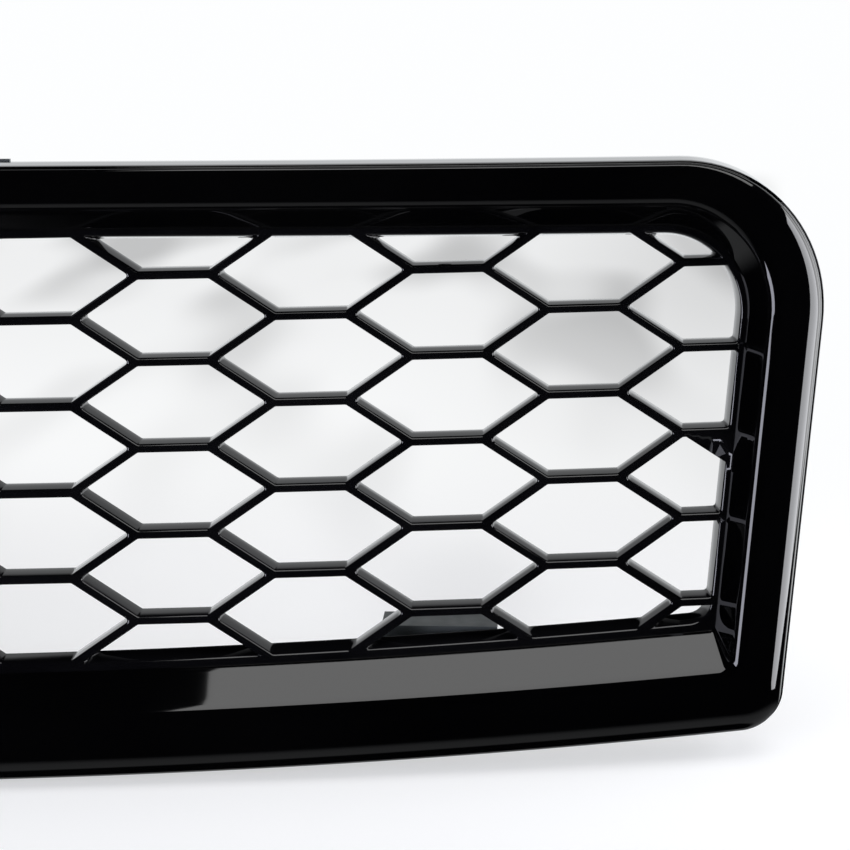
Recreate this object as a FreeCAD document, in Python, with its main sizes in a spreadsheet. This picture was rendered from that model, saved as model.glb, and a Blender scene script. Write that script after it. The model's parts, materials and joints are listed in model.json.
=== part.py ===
import FreeCAD, Part

import math
import os

# Front grille of a road vehicle, millimetres.
# +X is the viewer's right, the grille faces -Y and +Z is up.
# The origin is the middle of the two bolt holes in the upper centre bracket, on the bracket's top face.
# The honeycomb's front surface is swept back to both sides and leans rearward at the top. Places on it
# are given in the front view (x, z), and "depth" is measured forward from it, along -Y.

SIZES = {
    # where the moulding lies
    "front_datum": (-49.5, "y of the honeycomb's front surface on the centreline, level with the opening's top"),
    "opening_top": (-11.2, "z of the opening's top edge on the centreline"),
    "opening_bottom": (-260.3, "z of the opening's bottom edge on the centreline"),
    "opening_side": (492.1, "x of the opening's side edge at side_level"),
    "side_level": (-160.5, "z at which opening_side is measured"),
    "side_flare": (0.0975, "outward travel of the side edges for each millimetre up"),
    "top_slope": (0.0155, "fall of the top edges for each millimetre out from the centreline"),
    "top_crown": (80.0, "length over which the top edges round over on the centreline"),
    "bottom_rise": (0.000052, "rise of the bottom edges for each square millimetre from the centreline"),
    "top_spread": (0.00000014, "growth of the surround's top face for each square millimetre from the centreline"),
    "side_spread": (0.0001, "growth of the surround's side faces for each millimetre up"),
    "lean": (0.2388, "rearward travel of the front surface for each millimetre up"),
    "nose_half": (60.0, "half width of the tighter nose curve on the centreline"),
    "nose_slope": (0.0911, "slope of the front surface where the nose curve ends"),
    "sweep": (0.00016, "growth of that slope for each millimetre further out"),
    "top_radius": (47.5, "radius of the opening's top corners"),
    "bottom_radius": (14.0, "radius of the opening's bottom corners"),
    # honeycomb
    "row_datum": (-10.5, "z of the topmost cell centres in the middle column"),
    "row_pitch": (50.0, "height of a cell, centre line to centre line"),
    "column_pitch": (81.25, "distance between cell columns"),
    "half_flat": (21.63, "half length of a cell's flat, on the centre lines"),
    "bar_front": (4.7, "width of a bar at the front"),
    "bar_back": (5.7, "width of a bar at the back"),
    "bar_depth": (13.7, "depth of a bar from front to back"),
    "rim_taper": (2.7, "inward reach of the rim's rear edge at the sides and bottom"),
    "rim_taper_top": (3.6, "inward reach of the rim's rear edge at the top"),
    "rim_width": (5.0, "width of the deep rim round the cells"),
    "plate": (3.2, "thickness of the honeycomb's fixing flange"),
    "flange_top": (36.5, "reach of the fixing flange above the opening"),
    "flange_side": (42.0, "reach of the fixing flange beside the opening"),
    "flange_bottom": (54.0, "reach of the fixing flange below the opening"),
    "flange_top_radius": (83.5, "radius of the fixing flange's top corners"),
    "flange_bottom_radius": (22.0, "radius of the fixing flange's bottom corners"),
    # surround
    "face_depth": (26.8, "depth of the surround's front face"),
    "wall_gap": (0.3, "gap between the surround's inner wall and the honeycomb"),
    "skin": (2.8, "wall thickness of the surround"),
    "return_depth": (-6.0, "depth at which the outer return flange ends"),
    # fixings
    "boss_top": (29.5, "distance of the upper screws above the opening"),
    "boss_side": (27.5, "distance of the side screws beside the opening"),
    "boss_bottom": (38.0, "distance of the lower screws below the opening"),
    "boss_root": (4.2, "distance of a boss's root behind the surround's front face"),
    "boss_gap": (0.1, "gap between a boss and the honeycomb's pad"),
    "pad_height": (2.3, "height of a free pad's rear end above the flange"),
    "boss_radius": (5.0, "radius of a screw boss"),
    "pad_radius": (6.5, "radius of the honeycomb's pad round a screw"),
    "screw_radius": (1.7, "radius of a self-tapping screw's shank"),
    "screw_length": (14.0, "length of shank inside the boss"),
    "screw_head_radius": (4.4, "radius of a screw head"),
    "screw_head": (2.4, "thickness of a screw head"),
    "screw_clearance": (0.05, "radial gap round a screw in its boss"),
    "pass_radius": (2.3, "radius of the honeycomb's and brackets' screw holes"),
    "seat": (1.5, "height of a pad's front end above the flange"),
    "seat_gap": (0.05, "gap between a pad, a bracket and a screw's head"),
    # brackets
    "sheet_metal": (2.5, "thickness of the bracket steel"),
    "centre_half": (65.0, "half width of the upper centre bracket"),
    "centre_top": (31.9, "z of the top of the centre bracket's leg"),
    "centre_tab": (48.0, "length of the centre bracket's tab behind its leg"),
    "bolt_half": (40.0, "half distance between the centre bracket's bolt holes"),
    "bolt_radius": (3.5, "radius of the bracket bolt holes"),
    "bolt_setback": (29.0, "distance of the centre bolt holes behind the leg's front"),
    "side_tab": (44.0, "length of the other brackets' tabs behind their legs"),
    "upper_x": (345.0, "distance of the upper side brackets from the centreline"),
    "upper_half": (42.0, "half width of an upper side bracket"),
    "upper_tab": (2.0, "z of the upper side brackets' tabs"),
    "upper_leg": (22.0, "z of the top of the upper side brackets' legs"),
    "leg_gap": (7.0, "distance of a bracket's leg behind the front surface at its nearest point"),
    "lower_x": (319.5, "distance of the lower brackets from the centreline"),
    "lower_half": (35.5, "half width of a lower bracket"),
    "lower_top": (-250.5, "z of the lower bracket's shelf"),
    "lower_shelf": (24.0, "length of the lower bracket's shelf behind its leg"),
    "lower_drop": (58.0, "height of the lower bracket's leg"),
    "flank_level": (-135.0, "z of the flank brackets' middle"),
    "flank_half": (40.0, "half height of a flank bracket"),
    "flank_inner": (7.0, "distance of the flank bracket's inner edge beside the opening"),
    "flank_outer": (46.0, "distance of the flank bracket's outer edge beside the opening"),
    "flank_tab": (27.0, "distance of the flank bracket's tab beside the opening, out of sight behind the moulding"),
    # U-nuts
    "nut_leaf": (0.9, "thickness of a U-nut's leaf"),
    "nut_width": (15.0, "width of a U-nut"),
    "nut_length": (19.0, "length of a U-nut"),
    "nut_gap": (0.05, "gap between a U-nut and its bracket"),
    "nut_barrel": (4.6, "radius of a U-nut's threaded barrel"),
    "nut_barrel_length": (5.0, "length of that barrel beyond the leaf"),
    "nut_bore": (2.5, "radius of a U-nut's M6 thread"),
    "nut_edge": (10.0, "distance of a U-nut's thread from its bracket's free edge"),
    # push retainers
    "retainer_spread": (25.0, "half distance between a bracket's two retainers"),
    "retainer_setback": (27.0, "distance of the retainers behind the bracket leg's front"),
    "retainer_head": (9.0, "radius of a retainer's head"),
    "retainer_head_thickness": (2.0, "thickness of a retainer's head"),
    "retainer_collar": (4.4, "radius of a retainer inside its bracket"),
    "retainer_shank": (4.1, "radius of a retainer's shank below its bracket"),
    "retainer_shank_length": (14.0, "length of that shank"),
    "retainer_gap": (0.02, "gap under a retainer's head"),
    "retainer_hole": (4.5, "radius of a bracket's retainer holes"),
    "pin_radius": (2.0, "radius of a centre pin"),
    "pin_clearance": (0.05, "radial gap round a centre pin"),
    "pin_end": (1.0, "distance of a centre pin's tip inside the shank's end"),
    "pin_gap": (0.05, "gap under a centre pin's head"),
    "pin_head": (6.0, "radius of a centre pin's head"),
    "pin_head_thickness": (1.6, "thickness of a centre pin's head"),
}

doc = FreeCAD.newDocument("front_grille")
sheet = doc.addObject("Spreadsheet::Sheet", "sizes")
sheet.Label = "sizes"
for line, (alias, (value, meaning)) in enumerate(SIZES.items(), start=1):
    sheet.set(f"A{line}", alias)
    sheet.set(f"B{line}", str(value))
    sheet.set(f"C{line}", meaning)
    sheet.setAlias(f"B{line}", alias)
doc.recompute()


def size(alias):
    return float(sheet.get(alias))


# ---------------------------------------------------------------- the swept surface

def plan(x):
    """Rearward travel of the front surface at x, from the centreline."""
    half = size("nose_half")
    slope = size("nose_slope")
    out = abs(x)
    if out < half:
        return slope * out * out / half / 2
    beyond = out - half
    return slope * half / 2 + slope * beyond + size("sweep") * beyond * beyond / 2


def front(x, z):
    """y of the honeycomb's front surface."""
    return size("front_datum") + plan(x) + size("lean") * (z - size("opening_top"))


def opening_side(z):
    return size("opening_side") + size("side_flare") * (z - size("side_level"))


def opening_top(x):
    crown = size("top_crown")
    return size("opening_top") - size("top_slope") * (math.hypot(x, crown) - crown)


def opening_bottom(x):
    return size("opening_bottom") + size("bottom_rise") * x * x


# ---------------------------------------------------------------- outlines round the opening

SPAN_POINTS = 33
CORNER_POINTS = 9
SIDE_POINTS = 7


def fractions(count):
    return [k / (count - 1) for k in range(count)]


def top_edge(x, offset):
    return opening_top(x) + offset * (1 + size("top_spread") * x * x)


def bottom_edge(x, offset):
    return opening_bottom(x) - offset


def side_edge(z, offset):
    return opening_side(z) + offset * (1 + size("side_spread") * (z - size("side_level")))


def corner(edge, offset, sign, side_offset, radius):
    """Centre, tangent x and end angles of the right-hand arc between a top or bottom edge and the side."""
    flare = size("side_flare") + side_offset * size("side_spread")
    stretch = math.hypot(1, flare)

    def centre(x):
        tilt = edge(x + 0.5, offset) - edge(x - 0.5, offset)
        length = math.hypot(1, tilt)
        normal = (-sign * tilt / length, sign / length)
        return x - radius * normal[0], edge(x, offset) - radius * normal[1], normal

    low, high = 0.0, 2 * size("opening_side")
    for _ in range(50):
        middle = (low + high) / 2
        cx, cz, normal = centre(middle)
        beyond = (cx - side_edge(cz, side_offset)) / stretch + radius
        low, high = (middle, high) if beyond < 0 else (low, middle)
    return cx, cz, middle, math.atan2(normal[1], normal[0]), math.atan2(-flare, 1)


def outline(top, side, bottom, top_radius, bottom_radius):
    """Eight stretches of points, clockwise from the top: top, corner, right, corner, bottom and so on."""
    up = corner(top_edge, top, 1, side, top_radius)
    down = corner(bottom_edge, bottom, -1, side, bottom_radius)

    def arc(place, radius):
        cx, cz, _, start, end = place
        angles = [start + (end - start) * share for share in fractions(CORNER_POINTS)]
        return [(cx + radius * math.cos(a), cz + radius * math.sin(a)) for a in angles]

    top_right = arc(up, top_radius)
    bottom_right = arc(down, bottom_radius)[::-1]
    across = [up[2] * (2 * share - 1) for share in fractions(SPAN_POINTS)]
    back = [down[2] * (1 - 2 * share) for share in fractions(SPAN_POINTS)]
    first, last = top_right[-1], bottom_right[0]
    right = [(first[0] + (last[0] - first[0]) * s, first[1] + (last[1] - first[1]) * s)
             for s in fractions(SIDE_POINTS)]

    def mirrored(points):
        return [(-x, z) for x, z in reversed(points)]

    return [
        [(x, top_edge(x, top)) for x in across],
        top_right,
        right,
        bottom_right,
        [(x, bottom_edge(x, bottom)) for x in back],
        mirrored(bottom_right),
        mirrored(right),
        mirrored(top_right),
    ]


def depth_along(depths, stretch, share):
    """Depth part-way along one of the eight stretches, for a (top, side, bottom) set of depths."""
    top, side, bottom = depths
    ends = [(top, top), (top, side), (side, side), (side, bottom),
            (bottom, bottom), (bottom, side), (side, side), (side, top)][stretch]
    ease = (1 - math.cos(math.pi * share)) / 2
    return ends[0] + (ends[1] - ends[0]) * ease


def curve(points):
    spline = Part.BSplineCurve()
    spline.interpolate(points)
    return spline.toShape()


def flat_ring(offsets, radii):
    """Closed wire of an outline in the plane y = 0."""
    edges = []
    for points in outline(*offsets, *radii):
        edges.append(curve([FreeCAD.Vector(x, 0, z) for x, z in points]))
    return Part.Wire(edges)


def solid_of(faces):
    """Solid inside a closed set of faces."""
    shell = Part.makeShell(faces)
    shell.sewShape()
    solid = Part.Solid(shell.Shells[0])
    if solid.Volume < 0:
        solid.reverse()
    return solid


def prism(offsets, radii, start, end):
    """Solid of an outline drawn along Y."""
    face = Part.Face(flat_ring(offsets, radii))
    face.translate(FreeCAD.Vector(0, start, 0))
    return face.extrude(FreeCAD.Vector(0, end - start, 0))


def swept_slab(near, far, low, high, reach):
    """Solid between two depths behind the front surface, from z = low to z = high."""
    across = [reach * (2 * share - 1) for share in fractions(2 * SPAN_POINTS + 1)]
    lines = [curve([FreeCAD.Vector(x, front(x, low) + back, low) for x in across]) for back in (near, far)]
    ends = []
    for edge in (0, -1):
        x = across[edge]
        ends.append(Part.makeLine((x, front(x, low) + near, low), (x, front(x, low) + far, low)))
    face = Part.Face(Part.Wire(Part.__sortEdges__(lines + ends)))
    height = high - low
    return face.extrude(FreeCAD.Vector(0, size("lean") * height, height))


# ---------------------------------------------------------------- where the screws go

SCREW_ROWS = {
    "mesh_screws_top": [("top", x) for x in (-440, -225, -135, 135, 225, 440)],
    "mesh_screws_bottom": [("bottom", x) for x in (-440, -180, -60, 60, 180, 440)],
    "mesh_screws_left": [("left", z) for z in (-60, -205)],
    "mesh_screws_right": [("right", z) for z in (-60, -205)],
    "upper_centre_bracket_screws": [("top", x) for x in (-45, 45)],
    "upper_left_bracket_screws": [("top", x) for x in (-370, -320)],
    "upper_right_bracket_screws": [("top", x) for x in (320, 370)],
    "lower_left_bracket_screws": [("bottom", x) for x in (-340, -300)],
    "lower_right_bracket_screws": [("bottom", x) for x in (300, 340)],
    "left_flank_bracket_screws": [("left", z) for z in (-155, -115)],
    "right_flank_bracket_screws": [("right", z) for z in (-155, -115)],
}


def screw_place(row, at):
    """Front-view place of a screw's axis."""
    if row == "top":
        return at, opening_top(at) + size("boss_top")
    if row == "bottom":
        return at, opening_bottom(at) - size("boss_bottom")
    x = opening_side(at) + size("boss_side")
    return (x, at) if row == "right" else (-x, at)


def leg_front(name):
    """y of the front face of a bracket's leg, which clears the moulding at its rearmost point."""
    if name == "centre":
        return -size("bolt_setback")
    if name == "upper":
        return front(size("upper_x") + size("upper_half"), size("upper_leg")) + size("leg_gap")
    if name == "lower":
        return front(size("lower_x") + size("lower_half"), size("lower_top")) + size("bar_depth") + 1
    top = size("flank_level") + size("flank_half")
    return front(opening_side(top) + size("flank_outer"), top) + size("leg_gap")


def flank_edges():
    """Distances of a flank bracket's inner edge, its tab's inner edge and its outer edge from the centreline."""
    beside = opening_side(size("flank_level"))
    return beside + size("flank_inner"), beside + size("flank_tab"), beside + size("flank_outer")


def bearing_of(group, x, z):
    """y of the face that a screw's head or its bracket bears on, and whether there is a bracket."""
    for word in ("centre", "upper", "lower", "flank"):
        if word in group:
            return leg_front(word), True
    return front(x, z) + size("plate") + size("pad_height"), False


SCREWS = []
for group, places in SCREW_ROWS.items():
    for row, at in places:
        x, z = screw_place(row, at)
        bearing, through_bracket = bearing_of(group, x, z)
        SCREWS.append((group, x, z, front(x, z), bearing, through_bracket))


def y_cylinder(radius, x, z, start, end):
    return Part.makeCylinder(radius, end - start, FreeCAD.Vector(x, start, z), FreeCAD.Vector(0, 1, 0))


# ---------------------------------------------------------------- surround

def section(base, lip, start, end, round_end, step, rise, flare):
    """Cross-section of the surround on one side: (distance outside the opening, depth) pairs."""
    face, gap, skin = size("face_depth"), size("wall_gap"), size("skin")
    wall_top, crown = face - 5.8, face - 1.0
    slope = (lip - 4.5 - base) / (wall_top - gap)
    foot = (base, gap)
    wall = (lip - 4.5, wall_top)
    bend = (wall[0] + slope * (face - wall_top), face)
    after = (bend[0] + math.hypot(bend[0] - wall[0], face - wall_top), face)

    def quadratic(a, b, c, share):
        return tuple((1 - share) ** 2 * a[i] + 2 * share * (1 - share) * b[i] + share ** 2 * c[i] for i in (0, 1))

    def quarter(flat, steep, count):
        """Quarter ellipse that leaves (flat) level and arrives at (steep) upright."""
        angles = [math.pi / 2 * share for share in fractions(count)]
        return [(flat[0] + (steep[0] - flat[0]) * math.sin(a), steep[1] + (flat[1] - steep[1]) * math.cos(a))
                for a in angles]

    points = [foot]
    points += [quadratic(wall, bend, after, share) for share in fractions(6)]
    points += quarter((start, crown), (end, round_end), 7)
    rear = end + rise + flare
    points += [(end, step), (end + rise, step), (rear, size("return_depth")), (rear - skin, size("return_depth"))]
    inner_start = (min(start, end - skin - 1.7), crown - skin)
    points += quarter(inner_start, (end - skin, max(round_end, step)), 4)[::-1]
    wall_skin = skin * math.hypot(1, slope)
    points += [(base + wall_skin + slope * (face - skin - gap), face - skin), (base + wall_skin, gap)]
    return points


SECTIONS = (
    section(base=3.4, lip=21.8, start=39.2, end=41.6, round_end=21.5, step=20.0, rise=1.2, flare=-0.4),
    section(base=3.5, lip=17.4, start=33.7, end=47.1, round_end=11.0, step=9.5, rise=1.7, flare=0.3),
    section(base=3.9, lip=23.2, start=38.0, end=62.0, round_end=6.0, step=5.0, rise=1.0, flare=0.3),
)
BASE_CORNER = 3.0
LIP_REACH = 17.0
CUT_MARGIN = 1.0


def surround_radii(offset):
    """Top and bottom corner radii of the surround's outline at this distance beside the opening."""
    within = min(offset, LIP_REACH)
    beyond = max(offset - LIP_REACH, 0.0)
    top = size("top_radius") + 0.92 * within + 0.8 * beyond
    return top, BASE_CORNER + 0.5 * max(offset - SECTIONS[1][0][0], 0.0)


def ring_edges(vertex):
    """The eight space curves traced by one vertex of the cross-section."""
    offsets = tuple(SECTIONS[i][vertex][0] for i in range(3))
    depths = tuple(SECTIONS[i][vertex][1] for i in range(3))
    edges = []
    for stretch, points in enumerate(outline(*offsets, *surround_radii(offsets[1]))):
        shares = fractions(len(points))
        edges.append(curve([FreeCAD.Vector(x, front(x, z) - depth_along(depths, stretch, share), z)
                            for (x, z), share in zip(points, shares)]))
    return edges


def build_surround():
    rings = [ring_edges(vertex) for vertex in range(len(SECTIONS[0]))]
    faces = []
    for ring, following in zip(rings, rings[1:] + rings[:1]):
        for first, second in zip(ring, following):
            faces.append(Part.makeRuledSurface(first, second))
    solid = solid_of(faces)
    bosses, holes = [], []
    for _, x, z, surface, _, _ in SCREWS:
        rear = surface - size("seat") - size("boss_gap")
        root = surface - size("face_depth") + size("boss_root")
        bosses.append(y_cylinder(size("boss_radius"), x, z, root, rear))
        bottom = surface - size("seat") - size("screw_length") - CUT_MARGIN
        holes.append(y_cylinder(size("screw_radius") + size("screw_clearance"), x, z, bottom, rear + CUT_MARGIN))
    return solid.fuse(bosses).cut(holes)


# ---------------------------------------------------------------- honeycomb

def cell_cutter(x, z):
    """Tapered six-sided cutter of one cell, wider at the front."""
    slope = (plan(x + 1) - plan(x - 1)) / 2
    half_flat, half_row = size("half_flat"), size("row_pitch") / 2
    half_cell = size("column_pitch") - half_flat
    edge = math.hypot(half_cell - half_flat, half_row)
    front_bar, back_bar, depth = size("bar_front") / 2, size("bar_back") / 2, size("bar_depth")
    margin = 6.0
    wires = []
    for behind in (-margin, depth + margin):
        bar = front_bar + (back_bar - front_bar) * behind / depth
        tip = half_cell - bar * edge / half_row
        level = half_row - bar
        corner_x = tip - level * (half_cell - half_flat) / half_row
        upper = [(tip, 0), (corner_x, level), (-corner_x, level)]
        corners = upper + [(-u, -v) for u, v in upper]
        points = [FreeCAD.Vector(x + u, front(x, z) + slope * u + size("lean") * v + behind, z + v)
                  for u, v in corners]
        wires.append(Part.makePolygon(points + points[:1]))
    return Part.makeLoft(wires, True, True)


def cell_centres():
    """Centres of all cells that reach into the opening."""
    pitch, row = size("column_pitch"), size("row_pitch")
    columns = int(size("opening_side") / pitch) + 2
    half_cell = pitch - size("half_flat")
    for column in range(-columns, columns + 1):
        x = column * pitch
        shift = row / 2 if column % 2 else 0.0
        if abs(x) - half_cell > opening_side(size("opening_top")):
            continue
        z = size("row_datum") + shift
        while z + row / 2 > size("opening_bottom"):
            yield x, z
            z -= row


def opening_cutter(near, far):
    """Cutter of the whole opening, tapered along the swept surface and closed by planes at near and far."""
    margin, depth = 6.0, size("bar_depth")
    rings = []
    for behind, plane in ((-margin, near), (-margin, None), (depth + margin, None), (depth + margin, far)):
        inset = -size("rim_taper") * behind / depth
        top_inset = -size("rim_taper_top") * behind / depth
        radii = (size("top_radius") + inset, size("bottom_radius") + inset)
        rings.append([curve([FreeCAD.Vector(x, front(x, z) + behind if plane is None else plane, z)
                             for x, z in points]) for points in outline(top_inset, inset, inset, *radii)])
    faces = [Part.Face(Part.Wire(rings[0])), Part.Face(Part.Wire(rings[-1]))]
    for ring, following in zip(rings, rings[1:]):
        faces += [Part.makeRuledSurface(first, second) for first, second in zip(ring, following)]
    return solid_of(faces)


def build_mesh():
    margin = 20.0
    low = size("opening_bottom") - size("flange_bottom") - margin
    high = size("opening_top") + size("flange_top") + margin
    reach = opening_side(high) + size("flange_side") + margin
    near, far = front(0, low) - 3 * margin, front(reach, high) + 4 * margin
    depth, plate, rim = size("bar_depth"), size("plate"), size("rim_width")
    flange = (size("flange_top"), size("flange_side"), size("flange_bottom"))
    flange_radii = (size("flange_top_radius"), size("flange_bottom_radius"))
    rim_radii = (size("top_radius") + rim, size("bottom_radius"))
    thin = swept_slab(0, plate, low, high, reach).common(prism(flange, flange_radii, near, far))
    deep = swept_slab(0, depth, low, high, reach).common(prism((rim,) * 3, rim_radii, near, far))
    blank = thin.fuse(deep)
    opening = opening_cutter(near, far)
    cutters = []
    for x, z in cell_centres():
        cutter = cell_cutter(x, z)
        inside = cutter.common(opening)
        if inside.Volume > 1:
            cutters += inside.Solids
    mesh = blank.cut(cutters)
    pads, holes = [], []
    for _, x, z, surface, bearing, _ in SCREWS:
        rear, end = bearing - size("seat_gap"), surface - size("seat")
        pads.append(y_cylinder(size("pad_radius"), x, z, end, rear))
        holes.append(y_cylinder(size("pass_radius"), x, z, end - CUT_MARGIN, rear + CUT_MARGIN))
    return mesh.fuse(pads).cut(holes)


def shaped(name, shape):
    feature = doc.addObject("Part::Feature", name)
    feature.Label = name
    feature.Shape = shape
    return feature


# ---------------------------------------------------------------- bound Part objects

PARTS = []
COUNT = {"objects": 0}


def fresh(kind, stem):
    COUNT["objects"] += 1
    return doc.addObject(kind, f"{stem}_{COUNT['objects']}")


def bind(feature, expressions):
    for name, text in expressions.items():
        feature.setExpression(name, text)
    return feature


def base_expressions(place):
    return {f"Placement.Base.{axis}": str(value) for axis, value in zip("xyz", place)}


def box(stem, lengths, place):
    feature = fresh("Part::Box", stem)
    return bind(feature, {"Length": lengths[0], "Width": lengths[1], "Height": lengths[2], **base_expressions(place)})


TURNS = {
    "x": FreeCAD.Rotation(FreeCAD.Vector(0, 1, 0), 90),
    "y": FreeCAD.Rotation(FreeCAD.Vector(1, 0, 0), -90),
    "z": FreeCAD.Rotation(),
}


def rod(stem, radius, length, place, along="z"):
    """Cylinder that starts at place and runs along +x, +y or +z."""
    feature = fresh("Part::Cylinder", stem)
    feature.Placement = FreeCAD.Placement(FreeCAD.Vector(), TURNS[along])
    return bind(feature, {"Radius": radius, "Height": length, **base_expressions(place)})


def fused(stem, members):
    feature = fresh("Part::MultiFuse", stem)
    feature.Shapes = members
    return feature


def cut(name, base, tools):
    feature = doc.addObject("Part::Cut", name)
    feature.Label = name
    feature.Base = base
    feature.Tool = fused(name + "_tools", tools) if len(tools) > 1 else tools[0]
    PARTS.append(feature)
    return feature


def group(name, members):
    feature = doc.addObject("Part::Compound", name)
    feature.Label = name
    feature.Links = members
    PARTS.append(feature)
    return feature


def build_screws(name):
    """Self-tapping screws that run forward from a bearing face into their bosses."""
    members = []
    for owner, x, z, surface, bearing, through_bracket in SCREWS:
        if owner != name:
            continue
        seat_y = bearing + (size("sheet_metal") + size("seat_gap") if through_bracket else 0.0)
        tip_y = surface - size("seat") - size("screw_length")
        shank = rod(name, "sizes.screw_radius", f"{seat_y - tip_y:.4f} + sizes.screw_head / 2", (x, tip_y, z), "y")
        head = rod(name, "sizes.screw_head_radius", "sizes.screw_head", (x, seat_y, z), "y")
        members.append(fused(name, [shank, head]))
    group(name, members)


def screw_holes(name):
    holes = []
    for owner, x, z, _, bearing, _ in SCREWS:
        if owner == name:
            holes.append(rod(name + "_hole", "sizes.pass_radius", "sizes.sheet_metal + 10", (x, bearing - 5, z), "y"))
    return holes


def build_upper_centre_bracket():
    """Steel angle: a leg behind the top flange and a tab rearward from the leg's foot."""
    name = "upper_centre_bracket"
    leg_y = leg_front("centre")
    leg = box(name, ("2 * sizes.centre_half", "sizes.sheet_metal", "sizes.centre_top + sizes.sheet_metal"),
              ("-sizes.centre_half", leg_y, "-sizes.sheet_metal"))
    tab = box(name, ("2 * sizes.centre_half", "sizes.centre_tab", "sizes.sheet_metal"),
              ("-sizes.centre_half", leg_y, "-sizes.sheet_metal"))
    bolts = [rod(name + "_bolt_hole", "sizes.bolt_radius", "sizes.sheet_metal + 10",
                 (f"{side} * sizes.bolt_half", f"{leg_y:.4f} + sizes.bolt_setback", -8)) for side in (-1, 1)]
    cut(name, fused(name, [leg, tab]), bolts + screw_holes(name + "_screws"))


def build_upper_bracket(side, word):
    """Steel angle of one upper corner, whose tab carries two push retainers."""
    name = f"upper_{word}_bracket"
    leg_y = leg_front("upper")
    x = f"{side} * sizes.upper_x"
    height = "sizes.upper_leg - sizes.upper_tab + sizes.sheet_metal"
    leg = box(name, ("2 * sizes.upper_half", "sizes.sheet_metal", height),
              (f"{x} - sizes.upper_half", leg_y, "sizes.upper_tab - sizes.sheet_metal"))
    tab = box(name, ("2 * sizes.upper_half", "sizes.side_tab", "sizes.sheet_metal"),
              (f"{x} - sizes.upper_half", leg_y, "sizes.upper_tab - sizes.sheet_metal"))
    row = f"{leg_y:.4f} + sizes.retainer_setback"
    holes = [rod(name + "_hole", "sizes.retainer_hole", "sizes.sheet_metal + 10",
                 (f"{x} + {step} * sizes.retainer_spread", row, "sizes.upper_tab - 8")) for step in (-1, 1)]
    cut(name, fused(name, [leg, tab]), holes + screw_holes(name + "_screws"))


def build_lower_bracket(side, word):
    """Steel angle under the opening: a plain shelf, and a leg behind the fixing flange with a U-nut at its foot."""
    name = f"lower_{word}_bracket"
    leg_y = leg_front("lower")
    x = f"{side} * sizes.lower_x"
    leg = box(name, ("2 * sizes.lower_half", "sizes.sheet_metal", "sizes.lower_drop"),
              (f"{x} - sizes.lower_half", leg_y, "sizes.lower_top - sizes.lower_drop"))
    shelf = box(name, ("2 * sizes.lower_half", "sizes.lower_shelf", "sizes.sheet_metal"),
                (f"{x} - sizes.lower_half", leg_y, "sizes.lower_top - sizes.sheet_metal"))
    bolt = rod(name + "_hole", "sizes.bolt_radius", "sizes.sheet_metal + 10",
               (x, leg_y - 5, "sizes.lower_top - sizes.lower_drop + sizes.nut_edge"), "y")
    cut(name, fused(name, [leg, shelf]), [bolt] + screw_holes(name + "_screws"))


def build_flank_bracket(side, word):
    """Steel angle beside the opening, whose level tab takes a U-nut on its rear edge."""
    name = f"{word}_flank_bracket"
    leg_y = leg_front("flank")
    inner, tab_inner, outer = flank_edges()
    top = "sizes.flank_level + sizes.flank_half"
    leg = box(name, (f"{outer - inner:.4f}", "sizes.sheet_metal", "2 * sizes.flank_half"),
              (inner if side > 0 else -outer, leg_y, "sizes.flank_level - sizes.flank_half"))
    tab = box(name, (f"{outer - tab_inner:.4f}", "sizes.side_tab", "sizes.sheet_metal"),
              (tab_inner if side > 0 else -outer, leg_y, f"{top} - sizes.sheet_metal"))
    bolt = rod(name + "_hole", "sizes.bolt_radius", "sizes.sheet_metal + 10",
               (side * (tab_inner + outer) / 2, f"{leg_y:.4f} + sizes.side_tab - sizes.nut_edge", f"{top} - 8"))
    cut(name, fused(name, [leg, tab]), [bolt] + screw_holes(name + "_screws"))


def build_u_nut(name, hole, edge_way, plate_normal):
    """Folded spring-steel nut that grips a bracket's free edge and holds an M6 thread under its hole.

    hole is the point on the plate's outer face, on the hole's axis. The clip is made lying on a level plate
    whose free edge is towards +Y, and then turned so that this way and the plate's normal point as asked."""
    half, leaf, gap, plate = size("nut_width") / 2, size("nut_leaf"), size("nut_gap"), size("sheet_metal")
    back = size("nut_edge") + gap + leaf
    length = size("nut_length")
    upper = box(name, ("sizes.nut_width", "sizes.nut_length", "sizes.nut_leaf"), (-half, back - length, gap))
    lower = box(name, ("sizes.nut_width", "sizes.nut_length", "sizes.nut_leaf"),
                (-half, back - length, -plate - gap - leaf))
    fold = box(name, ("sizes.nut_width", "sizes.nut_leaf", f"{plate + 2 * gap + 2 * leaf:.4f}"),
               (-half, back - leaf, -plate - gap - leaf))
    barrel = rod(name, "sizes.nut_barrel", "sizes.nut_barrel_length",
                 (0, 0, -plate - gap - leaf - size("nut_barrel_length")))
    thread = rod(name + "_thread", "sizes.nut_bore", "sizes.nut_barrel_length + 20",
                 (0, 0, "-sizes.nut_barrel_length - 15"))
    clip = doc.addObject("Part::Cut", name + "_level")
    clip.Base = fused(name, [upper, lower, fold, barrel])
    clip.Tool = thread
    turn = FreeCAD.Rotation(edge_way.cross(plate_normal), edge_way, plate_normal, "ZYX")
    clip.Placement = FreeCAD.Placement(hole, turn)
    group(name, [clip])


def build_retainer(name, place):
    """Outer half of a two-piece push retainer, on a bracket's tab at place."""
    plate = size("sheet_metal")
    x, y, z = place
    washer = rod(name, "sizes.retainer_head", "sizes.retainer_head_thickness", (x, y, f"{z} + sizes.retainer_gap"))
    collar = rod(name, "sizes.retainer_collar", "sizes.sheet_metal + sizes.retainer_gap + 0.5", (x, y, z - plate))
    shank = rod(name, "sizes.retainer_shank", "sizes.retainer_shank_length + 0.5",
                (x, y, z - plate - size("retainer_shank_length")))
    bore = rod(name + "_bore", "sizes.pin_radius + sizes.pin_clearance", "80", (x, y, z - 40))
    cut(name, fused(name, [washer, collar, shank]), [bore])


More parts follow.
